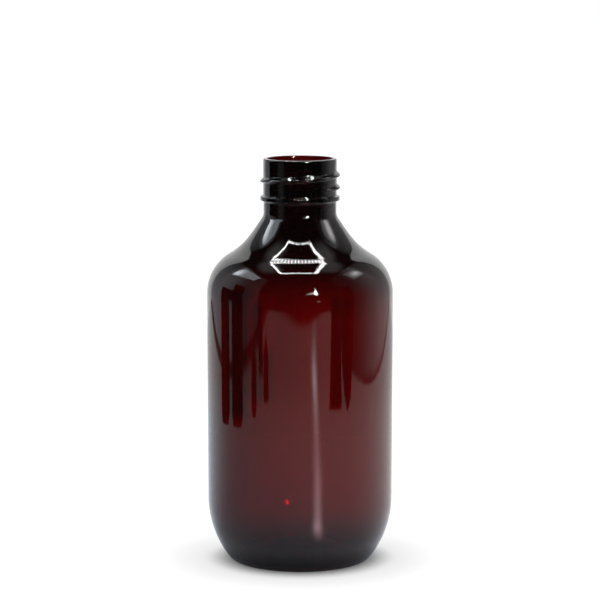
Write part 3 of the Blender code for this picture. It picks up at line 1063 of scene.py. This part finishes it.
distance = np.linspace(MIRROR_NEAR, MIRROR_FAR, MIRROR_ROWS)[:, None]
azimuth = np.linspace(-180, 180, MIRROR_COLUMNS)[None, :]
turned = np.radians(azimuth)
plan = np.broadcast_arrays(distance * np.sin(turned), -distance * np.cos(turned), np.array([[SHEET_LIFT]]))
warmer = smooth_step(distance + WARM_SHIFT_PER_DEGREE * azimuth, *WARM_DISTANCES)
floor_tint = tint_between(FLOOR_TINT, NEUTRAL, warmer)
sheet("mirrored_floor", np.dstack(plan), floor_light(distance, azimuth), floor_tint)
sheet("far_floor", level((-ROOM_HALF, ROOM_HALF), (ROOM_FRONT_Y, TENT_BACK_Y), SHEET_LIFT / 2), DARK)
print(f"mirrored floor: {MIRROR_ROWS} x {MIRROR_COLUMNS} points, out to {MIRROR_FAR} m")

# %% The bright path on it
PATH_DISTANCES = (0.040, 0.062, 0.10, 0.17, 0.21, 0.26, 0.32, 0.35, 0.41, 0.44, 0.48, 0.54, 0.62)
PATH_AZIMUTHS = (16.4, 16.9, 18.6, 19.8, 19.6, 19.1, 18.5, 18.1, 17.0, 16.6, 16.4, 16.6, 16.8)
PATH_LIGHTS = (0.0, 2.9, 1.9, 1.55, 1.2, 0.85, 1.3, 1.8, 2.7, 2.4, 1.3, 0.5, 0.0)
NARROWING_DISTANCES = (0.20, 0.36)
PATH_HALF_WIDTHS = (4.1, 2.7)
PATH_TINT_DISTANCES = (0.24, 0.40)


def path_light(distance, azimuth):
    """The bright path: a bell curve across its middle line, wider near the bottle."""
    middle = np.interp(distance, PATH_DISTANCES, PATH_AZIMUTHS)
    half_width = np.interp(distance, NARROWING_DISTANCES, PATH_HALF_WIDTHS)
    return np.interp(distance, PATH_DISTANCES, PATH_LIGHTS) * bump_of(azimuth - middle, half_width)


path_grid = np.dstack(plan) + np.array([0, 0, PATH_LIFT])
path_tint = tint_between(PATH_TINT, NEUTRAL, smooth_step(distance, *PATH_TINT_DISTANCES))
sheet("bright_path", path_grid, path_light(distance, azimuth), path_tint, SHINE)
print(f"bright path: from {PATH_DISTANCES[0]} to {PATH_DISTANCES[-1]} m in front")

# %% [markdown]
# A bright panel on each side wall, well above the bottle, shows as a patch on the flare and once more on the
# shoulder. It has crisp sides, a hot spot where its lamp stands behind it, and a faint grain.

# %% Bright panels on the side walls
PANEL_CLEAR = 5 * MM
PANEL_ROWS = 60
HOT_HALF_WIDTH = 0.06
GRAIN_SHARE = 0.20
FINE_GRAIN = 310
COARSE_GRAIN = 97
COARSE_GRAIN_SHIFT = 1.0
LEFT_PANEL = {
    "x": LEFT_X + PANEL_CLEAR,
    "corners": ((0.19, 0.37), (-0.16, 0.46), (-0.20, 0.60), (0.19, 0.60)),
    "hot": (0.15, 0.45),
    "hot_height": 0.09,
    "base_light": 2.1,
    "hot_light": 6.0,
    "tint": SKY_TINT,
}
RIGHT_PANEL = {
    "x": RIGHT_X - PANEL_CLEAR,
    "corners": ((-0.05, 0.37), (0.13, 0.37), (0.13, 0.55), (-0.07, 0.56)),
    "hot": (0.060, 0.450),
    "hot_height": 0.05,
    "base_light": 0.9,
    "hot_light": 4.5,
    "tint": NEUTRAL,
}


def panel(name, x, corners, hot, hot_height, base_light, hot_light, tint):
    """A panel with corners (y, z) on a side wall: its base light plus a bell curve round the hot
    place, times a grain, 1 plus a share of the product of a fine and a coarse sine along y."""
    points = patch([(x, y, z) for y, z in corners], PANEL_ROWS, PANEL_ROWS)
    y, z = points[..., 1], points[..., 2]
    grain = 1 + GRAIN_SHARE * np.sin(y * FINE_GRAIN) * np.sin(y * COARSE_GRAIN + COARSE_GRAIN_SHIFT)
    spot = bump_of(y - hot[0], HOT_HALF_WIDTH) * bump_of(z - hot[1], hot_height)
    sheet(name, points, (base_light + hot_light * spot) * grain, tint)


panel("left_panel", **LEFT_PANEL)
panel("right_panel", **RIGHT_PANEL)
print(f"panels: hottest at {LEFT_PANEL['hot'][1]} m and {RIGHT_PANEL['hot'][1]} m above the table")

# %% [markdown]
# Dark flags stand round the bottle, 28 to 42 cm from its axis, and show as dark upright bands on the body.
# They are cut-out shapes, so each is one outline, given as corners (azimuth in degrees, height in mm) at one
# distance from the axis.

# %% Dark flags that stand round the bottle
FLAGS = (
    ("flag_left_back", 0.279,
     ((-106.5, 1), (-95, 1), (-92.9, 6), (-92.9, 144), (-108.5, 144), (-108.5, 6))),
    ("flag_left", 0.279,
     ((-86, 1), (-73.5, 1), (-71.2, 6), (-71.2, 203), (-88.2, 203), (-88.2, 6))),
    ("flag_joint", 0.280,
     ((-93.5, 64), (-90.5, 58), (-87.5, 64), (-87.5, 144), (-93.5, 144))),
    ("flag_low", 0.309,
     ((-58, 1), (-53.5, 1), (-52.6, 4), (-52.6, 27), (-54, 29), (-58, 29), (-59, 27), (-59, 4))),
    ("flag_thin", 0.417,
     ((-50, 1), (-45.2, 1), (-44.9, 4), (-44.9, 40), (-50.3, 40), (-50.3, 4))),
    ("flag_pointed", 0.347,
     ((-43.2, 1), (-37.8, 1), (-37.4, 4), (-37.4, 24), (-40.5, 34), (-43.6, 24), (-43.6, 4))),
    ("flag_right_front", 0.331,
     ((34.8, 1), (50.4, 1), (49, 30), (42, 48), (39.5, 56), (37, 48), (36.5, 30))),
    ("flag_right", 0.321,
     ((57.6, 1), (62.5, 7), (65, 30), (66, 48), (66, 260), (49, 260), (49.5, 48), (50, 25), (53.5, 10))),
)


def flag(name, distance, outline):
    """One dark face whose corners are x = d sin a, y = -d cos a at their heights."""
    azimuth, height = np.array(outline, float).T
    turned = np.radians(azimuth)
    points = np.column_stack([distance * np.sin(turned), -distance * np.cos(turned), height * MM])
    hung(name, points, [tuple(range(len(points)))], DARK, NEUTRAL, CARD)


for values in FLAGS:
    flag(*values)
print(f"flags: {len(FLAGS)}")

# %% [markdown]
# The light overhead is a frame of small diodes. Its four bars show as a bright outline on the shoulder, once
# in the hollow flare and once in the round shoulder below it, and the diodes as beads along it. A bead is a
# power of a raised cosine along the bar times a raised cosine across it. The back bar is wider, bends back
# towards its ends and is brighter there.

# %% A strip of diodes
FRAME_HEIGHT = 0.564
POINTS_ACROSS = 25
DIODE_SPACING = 0.0178
POINTS_PER_DIODE = 12
BEAD_POWER = 5


def raised_cosine(turns):
    """(1 - cos) / 2 of a number of turns: 0 at whole numbers, 1 halfway between them."""
    return (1 - np.cos(TURN * turns)) / 2


def strip_of_diodes(start, end, width):
    """The strip's points, its beads along it, 1 at each diode, and its dome across it, 1 in its
    middle."""
    start, end = np.array(start), np.array(end)
    length = np.linalg.norm(end - start)
    way = (end - start) / length
    aside = np.array([-way[1], way[0]]) * width / 2
    diodes = round(length / DIODE_SPACING)
    plan = [start - aside, end - aside, end + aside, start + aside]
    corners = [(*corner, FRAME_HEIGHT) for corner in plan]
    points = patch(corners, diodes * POINTS_PER_DIODE + 1, POINTS_ACROSS)
    along = np.linspace(0, diodes, points.shape[1])[None, :]
    across = np.linspace(0, 1, POINTS_ACROSS)[:, None]
    return points, raised_cosine(along) ** BEAD_POWER, raised_cosine(across)


# %% The front and side bars
FRAME_LEFT_X = -0.155
FRAME_RIGHT_X = 0.125
FRAME_FRONT_Y = -0.158
FRAME_BACK_Y = 0.150
LEFT_BAR_WIDTH = 0.027
RIGHT_BAR_WIDTH = 0.038
FRONT_BAR_WIDTH = 0.034
FRONT_BAR_SHARE = 0.6
STRIP_LIGHT = 4.0
DIODE_LIGHT = 110.0


def bar(name, start, end, width, share=1.0):
    """A strip between two points (x, y), with a row of evenly spaced diodes."""
    points, beads, dome = strip_of_diodes(start, end, width)
    sheet(name, points, share * (STRIP_LIGHT + DIODE_LIGHT * beads * dome))


left_front, right_front = (FRAME_LEFT_X, FRAME_FRONT_Y), (FRAME_RIGHT_X, FRAME_FRONT_Y)
bar("bar_front", left_front, right_front, FRONT_BAR_WIDTH, FRONT_BAR_SHARE)
bar("bar_left", left_front, (FRAME_LEFT_X, FRAME_BACK_Y), LEFT_BAR_WIDTH)
bar("bar_right", right_front, (FRAME_RIGHT_X, FRAME_BACK_Y), RIGHT_BAR_WIDTH)
print(f"light frame: {FRAME_RIGHT_X - FRAME_LEFT_X:.2f} m wide, {FRAME_HEIGHT} m above the table")

# %% The back bar
BACK_BAR_Y = 0.130
BACK_BAR_WIDTH = 0.084
BACK_BOW = 0.045
BACK_STRIP_LIGHT = 6.5
BACK_DIODE_LIGHT = 27.0
BACK_MIDDLE_SHARE = 0.65

back_ends = (FRAME_LEFT_X, BACK_BAR_Y), (FRAME_RIGHT_X, BACK_BAR_Y)
back_points, back_beads, back_dome = strip_of_diodes(*back_ends, BACK_BAR_WIDTH)
to_ends = np.linspace(-1, 1, back_points.shape[1])[None, :] ** 2
back_points[..., 1] += BACK_BOW * to_ends
back_share = BACK_MIDDLE_SHARE + (1 - BACK_MIDDLE_SHARE) * to_ends
back_light = back_share * back_dome * (BACK_STRIP_LIGHT + BACK_DIODE_LIGHT * back_beads)
sheet("bar_back", back_points, back_light)
print(f"back bar: {back_points.shape[1] // POINTS_PER_DIODE} diodes")

# %% [markdown]
# Beside the camera the dark front has a softly bright gap with two lamps in it, one above the other. Their
# images are the star on the shoulder and the small bright spots on the neck and at the foot of it. The high
# lamp has a ray to the left and one up and down, as glare in a lens draws them. A dark card close to the
# bottle shields the shoulder from the low lamp.

# %% A bright gap beside the camera
GAP_START = (0.235, -0.90)
GAP_END = (0.420, -0.84)
GAP_LOW = 0.06
GAP_HIGH = 0.50
GAP_LIGHT = 0.3
GAP_POINTS = 30
GAP_WIDTH_FADE_SHARE = 0.4
GAP_HEIGHT_FADE_SHARE = 0.3


def fading(count, edge_share):
    """1 along a line of points, easing to 0 over a share of it at each end."""
    share = np.linspace(0, 1, count)
    return smooth_step(np.minimum(share, 1 - share), 0, edge_share)


across, upwards = fading(GAP_POINTS, GAP_WIDTH_FADE_SHARE), fading(GAP_POINTS, GAP_HEIGHT_FADE_SHARE)
gap = upright(GAP_START, GAP_END, GAP_LOW, GAP_HIGH, GAP_POINTS, GAP_POINTS)
sheet("gap", gap, GAP_LIGHT * across[None, :] * upwards[:, None], material=SHINE)
print(f"gap: {GAP_HIGH - GAP_LOW:.2f} m high")

# %% Two lamps in the gap
HIGH_LAMP = (0.285, -0.795, 0.400)
LOW_LAMP = (0.327, -0.785, 0.227)
LAMP_REACH = 0.22
LAMP_REACH_UP = 0.32
LAMP_POINTS = 161
HIGH_LAMP_CORE = 0.017
LOW_LAMP_CORE = 0.026
SPOT_STRETCH = 2.6
LAMP_GLOW = 260.0
RAY_LENGTH = 0.21
RAY_HALF_WIDTH = 0.010
RAY_SLOPE = 0.35
RAY_GLOW = 15.0
SPIKE_LENGTH = 0.31
SPIKE_GLOW = 45.0


def lamp_in_gap(name, place, core, rays):
    """A bright spot, with or without a ray to the left and one up and down. The shoulder flattens
    what it mirrors, so a round spot on it comes from a tall one."""
    x, y, z = place
    span_x, span_z = (x - LAMP_REACH, x + LAMP_REACH), (z - LAMP_REACH_UP, z + LAMP_REACH_UP)
    points = upright((span_x[0], y), (span_x[1], y), *span_z, LAMP_POINTS, LAMP_POINTS)
    off_x, off_z = points[..., 0] - x, points[..., 2] - z
    glow = LAMP_GLOW * bump_of(np.hypot(off_x, off_z / SPOT_STRETCH), core)
    if rays:
        to_left = smooth_step(off_x, -RAY_LENGTH, 0) * (off_x < 0)
        ray = to_left * bump_of(off_z - RAY_SLOPE * off_x, SPOT_STRETCH * RAY_HALF_WIDTH)
        up_and_down = np.clip(1 - np.abs(off_z) / SPIKE_LENGTH, 0, 1) ** 2
        glow = glow + RAY_GLOW * ray + SPIKE_GLOW * up_and_down * bump_of(off_x, RAY_HALF_WIDTH)
    sheet(name, points, glow, material=SHINE)


lamp_in_gap("high_lamp", HIGH_LAMP, HIGH_LAMP_CORE, rays=True)
lamp_in_gap("low_lamp", LOW_LAMP, LOW_LAMP_CORE, rays=False)
print(f"lamps: {HIGH_LAMP[2]} m and {LOW_LAMP[2]} m above the table")

# %% A card that shields the shoulder
SHIELD_Y = -0.120
SHIELD_CORNERS = ((0.026, 0.094), (0.100, 0.094), (0.100, 0.200), (0.058, 0.200),
                  (0.058, 0.128), (0.0425, 0.128), (0.0425, 0.121), (0.026, 0.121))
shield = np.array([(x, SHIELD_Y, z) for x, z in SHIELD_CORNERS])
hung("shield", shield, [tuple(range(len(shield)))], DARK, NEUTRAL, CARD)
print(f"shield: {len(shield)} corners")

# %% [markdown]
# The backdrop isn't equally bright everywhere behind the bottle: the dark flags and their stands take light
# from it. So a sheet stands close behind the bottle and is seen only through it. Its brightness is 1 less a
# few soft-edged boxes, each given by its sides in mm and how much it takes away. A second small sheet there
# holds one hot spot.

# %% Shade behind the bottle, seen only through it
BEHIND_Y = 100 * MM
BEHIND_X = (-36 * MM, 36 * MM)
BEHIND_Z = (24 * MM, 92 * MM)
BEHIND_POINTS = 145
BEHIND_EDGE_X = 0.6 * MM
BEHIND_EDGE_Z = 5 * MM
SHADES = (
    (-31, -22.0, 30, 84, 0.72),
    (-22.0, -19.0, 38, 84, 0.32),
    (-19.0, -15.5, 36, 78, 0.58),
    (-15.5, -10.5, 36, 56, 0.36),
    (-10.5, -3.0, 36, 80, 0.14),
    (12.0, 19.2, 34, 80, 0.48),
    (19.2, 30.0, 44, 80, 0.30),
)


def box_of(value, start, end, edge):
    """1 between start and end and 0 outside, with a smooth step as wide as the edge at each."""
    half = edge / 2
    return smooth_step(value, start - half, start + half) * (1 - smooth_step(value, end - half, end + half))


behind = upright((BEHIND_X[0], BEHIND_Y), (BEHIND_X[1], BEHIND_Y), *BEHIND_Z, BEHIND_POINTS, BEHIND_POINTS)
left_over = np.ones(behind.shape[:-1])
for x0, x1, z0, z1, loss in SHADES:
    across = box_of(behind[..., 0], x0 * MM, x1 * MM, BEHIND_EDGE_X)
    left_over -= loss * across * box_of(behind[..., 2], z0 * MM, z1 * MM, BEHIND_EDGE_Z)
sheet("shade_behind", behind, left_over, through=True)
print(f"shade behind: from {left_over.min():.2f} to {left_over.max():.2f}")

# %% A hot spot behind the heel, where the bottle gathers the lamp's light
GLINT_PLACE = (-4.9 * MM, 40 * MM, 10.2 * MM)
GLINT_SIZE = 4 * MM
GLINT_CORE = 0.55 * MM
GLINT_GLOW = 16.0
GLINT_STRETCH = 1.5
GLINT_TINT = (1.0, 0.55, 0.5)
GLINT_POINTS = 33
glint_x, glint_y, glint_z = GLINT_PLACE
half_size = GLINT_SIZE / 2
glint_start, glint_end = (glint_x - half_size, glint_y), (glint_x + half_size, glint_y)
glint_low, glint_high = glint_z - half_size, glint_z + half_size
glint = upright(glint_start, glint_end, glint_low, glint_high, GLINT_POINTS, GLINT_POINTS)
from_glint = np.hypot(glint[..., 0] - glint_x, (glint[..., 2] - glint_z) / GLINT_STRETCH)
sheet("glint_behind", glint, GLINT_GLOW * bump_of(from_glint, GLINT_CORE), GLINT_TINT, SHINE, through=True)
print(f"hot spot: {glint_z / MM:.1f} mm above the table, {glint_y / MM:.0f} mm behind the axis")

# %% [markdown]
# ## Lamp and camera
#
# One broad lamp stands straight over the bottle, like a large soft box. It is only there for the floor's
# shadow; it doesn't show in the plastic, where the light frame stands for it. A sun lamp with a wide angle is
# used and not an area lamp, so that the floor is evenly lit right across the view.
#
# The camera stands 0.88 m away and 0.21 m up, looking down by nearly 8 degrees with a long lens, so the
# bottle's sides stay straight and the mouth shows as a thin ellipse.

# %% Lamp
LAMP_LIGHT = 1.2
LAMP_ANGLE = math.radians(50)
lamp_data = bpy.data.lights.new("overhead_lamp", "SUN")
lamp_data.energy = LAMP_LIGHT
lamp_data.angle = LAMP_ANGLE
lamp = bpy.data.objects.new("overhead_lamp", lamp_data)
lamp.visible_glossy = False
lamp.visible_transmission = False
scene.collection.objects.link(lamp)
print(f"lamp: {lamp.name}, strength {lamp_data.energy:.1f}")

# %% Camera
SENSOR = 36
LENS = 156
CAMERA_PLACE = (0.0, -0.8764, 0.2104)
CAMERA_PITCH = math.radians(7.871)
camera_data = bpy.data.cameras.new("camera")
camera_data.sensor_width = SENSOR
camera_data.lens = LENS
camera = bpy.data.objects.new("camera", camera_data)
camera.location = CAMERA_PLACE
camera.rotation_euler = (math.pi / 2 - CAMERA_PITCH, 0, 0)
scene.collection.objects.link(camera)
scene.camera = camera
scene.view_settings.view_transform = "Standard"
print(f"camera: {LENS} mm lens, {-camera.location.y:.2f} m in front")
